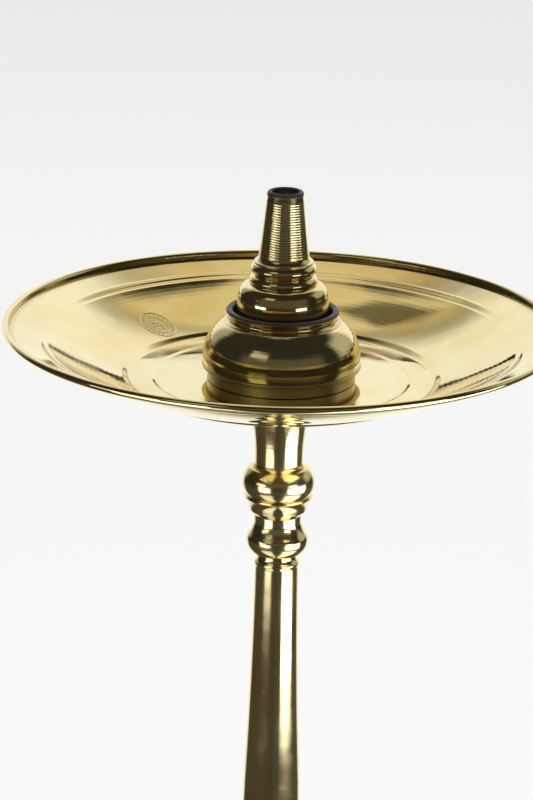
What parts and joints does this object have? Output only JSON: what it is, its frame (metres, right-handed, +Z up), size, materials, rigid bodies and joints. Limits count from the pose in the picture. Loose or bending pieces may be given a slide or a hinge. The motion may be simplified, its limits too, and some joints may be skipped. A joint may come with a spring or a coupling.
{
  "type": "hookah",
  "caption": "Free-standing brass hookah: ridged bowl port on a squat bulb, round ash tray, turned stem, heart with hose port and purge valve, glass vase.",
  "frame": {"origin": "centre of the underside of the glass vase, on the axis of the stem", "axes": "+Z up along the stem, +X towards the hose port, -Y towards the viewer"},
  "size_m": [0.23, 0.23, 0.6872],
  "materials": {
    "polished_brass": "polished",
    "tray_brass": "polished sheet, slightly pitted",
    "tarnished_brass": "tarnished",
    "tube_steel": "drawn tube",
    "ball_steel": "polished",
    "washer_fibre": "matte",
    "grommet_rubber": "matte",
    "vase_glass": "clear"
  },
  "bodies": {
    "vase": {"vase": "vase_glass", "vase_grommet": "grommet_rubber"},
    "stem": {"tray_washer": "washer_fibre", "tray_seat": "polished_brass", "stem_collar": "polished_brass", "stem_knop": "polished_brass", "saucer_ring": "polished_brass", "baluster": "polished_brass", "shaft": "polished_brass", "smoke_tube": "tube_steel", "shaft_ring": "polished_brass", "heart": "polished_brass", "heart_nut": "tube_steel", "heart_foot": "polished_brass", "hose_port": "polished_brass", "hose_collar": "polished_brass", "purge_body": "polished_brass", "purge_seat": "polished_brass", "purge_collar": "polished_brass", "vase_cover": "polished_brass", "plug_cone": "polished_brass", "down_stem": "tube_steel"},
    "tray": {"tray": "tray_brass", "tray_centre": "tray_brass"},
    "head": {"bowl_port": "polished_brass", "neck_bead": "polished_brass", "neck_drum": "polished_brass", "port_bell": "polished_brass", "lip_cup": "tarnished_brass", "bulb_shell": "polished_brass", "bulb_base": "polished_brass", "head_bush": "polished_brass"},
    "purge_cap": {"purge_cap": "polished_brass", "purge_cap_top": "polished_brass"},
    "purge_ball": {"purge_ball": "ball_steel"}
  },
  "joints": [
    {"name": "stem_lift", "type": "slide", "parent": "vase", "child": "stem", "axis": [0, 0, 1], "range_m": [0, 0.25]},
    {"name": "tray_spin", "type": "hinge", "parent": "stem", "child": "tray", "pos_m": [0, 0, 0.613], "axis": [0, 0, 1], "continuous": true},
    {"name": "head_lift", "type": "slide", "parent": "stem", "child": "head", "axis": [0, 0, 1], "range_m": [0, 0.045]},
    {"name": "purge_cap_turn", "type": "hinge", "parent": "stem", "child": "purge_cap", "pos_m": [-0.03464, 0, 0.33], "axis": [-0.866, 0, 0.5], "continuous": true},
    {"name": "purge_ball_lift", "type": "slide", "parent": "stem", "child": "purge_ball", "axis": [-0.866, 0, 0.5], "range_m": [0, 0.0028]}
  ]
}
